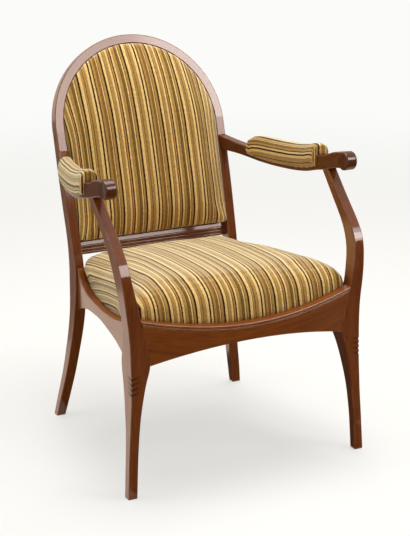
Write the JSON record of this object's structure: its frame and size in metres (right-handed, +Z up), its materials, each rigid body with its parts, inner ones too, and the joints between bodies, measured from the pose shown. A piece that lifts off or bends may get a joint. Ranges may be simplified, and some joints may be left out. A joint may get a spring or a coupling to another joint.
{
  "type": "upholstered open armchair",
  "caption": "Open armchair with a round-arched padded back, a full sprung seat in striped cloth, padded arms and a curved wooden show frame on outswept legs.",
  "frame": {"origin": "on the floor, under the middle of the chair's bounding box", "axes": "+Z up, -Y towards the front of the seat, +X towards the sitter's left"},
  "size_m": [0.6544, 0.697, 0.95],
  "materials": {
    "show_wood": "dark reddish brown stain under satin varnish",
    "rail_wood": "warmer reddish brown stain under satin varnish",
    "bare_wood": "planed, unfinished",
    "striped_cloth": "ribbed woven stripe in cream, ochre, olive and brown",
    "jute": "coarse plain weave",
    "black_cloth": "thin matt lining cloth",
    "steel": "plain drawn wire and turned screws"
  },
  "bodies": {
    "root": {"front_leg_left": "show_wood", "front_leg_right": "show_wood", "rear_leg_left": "show_wood", "rear_leg_right": "show_wood", "crest_arch": "show_wood", "front_rail": "rail_wood", "side_rail_left": "rail_wood", "side_rail_right": "rail_wood", "rear_rail": "rail_wood", "back_lower_rail": "rail_wood", "corner_block_front_left": "bare_wood", "corner_block_front_right": "bare_wood", "corner_block_rear_left": "bare_wood", "corner_block_rear_right": "bare_wood", "corner_screw_front_left": "steel", "corner_screw_front_right": "steel", "corner_screw_rear_left": "steel", "corner_screw_rear_right": "steel", "arm_left": "show_wood", "arm_right": "show_wood", "arm_pad_left": "striped_cloth", "arm_pad_right": "striped_cloth", "arm_screw_left": "steel", "arm_screw_right": "steel", "arm_post_dowel_left": "bare_wood", "arm_post_dowel_right": "bare_wood", "crest_dowel_left": "bare_wood", "crest_dowel_right": "bare_wood", "seat_webbing_long_1": "jute", "seat_webbing_long_2": "jute", "seat_webbing_long_3": "jute", "seat_webbing_long_4": "jute", "seat_webbing_cross_1": "jute", "seat_webbing_cross_2": "jute", "seat_webbing_cross_3": "jute", "seat_spring_1": "steel", "seat_spring_2": "steel", "seat_spring_3": "steel", "seat_spring_4": "steel", "seat_spring_5": "steel", "seat_hessian": "jute", "seat_cushion": "striped_cloth", "dust_cover": "black_cloth", "back_cushion": "striped_cloth", "back_panel": "striped_cloth", "back_webbing_1": "jute", "back_webbing_2": "jute", "back_webbing_3": "jute"}
  },
  "joints": []
}
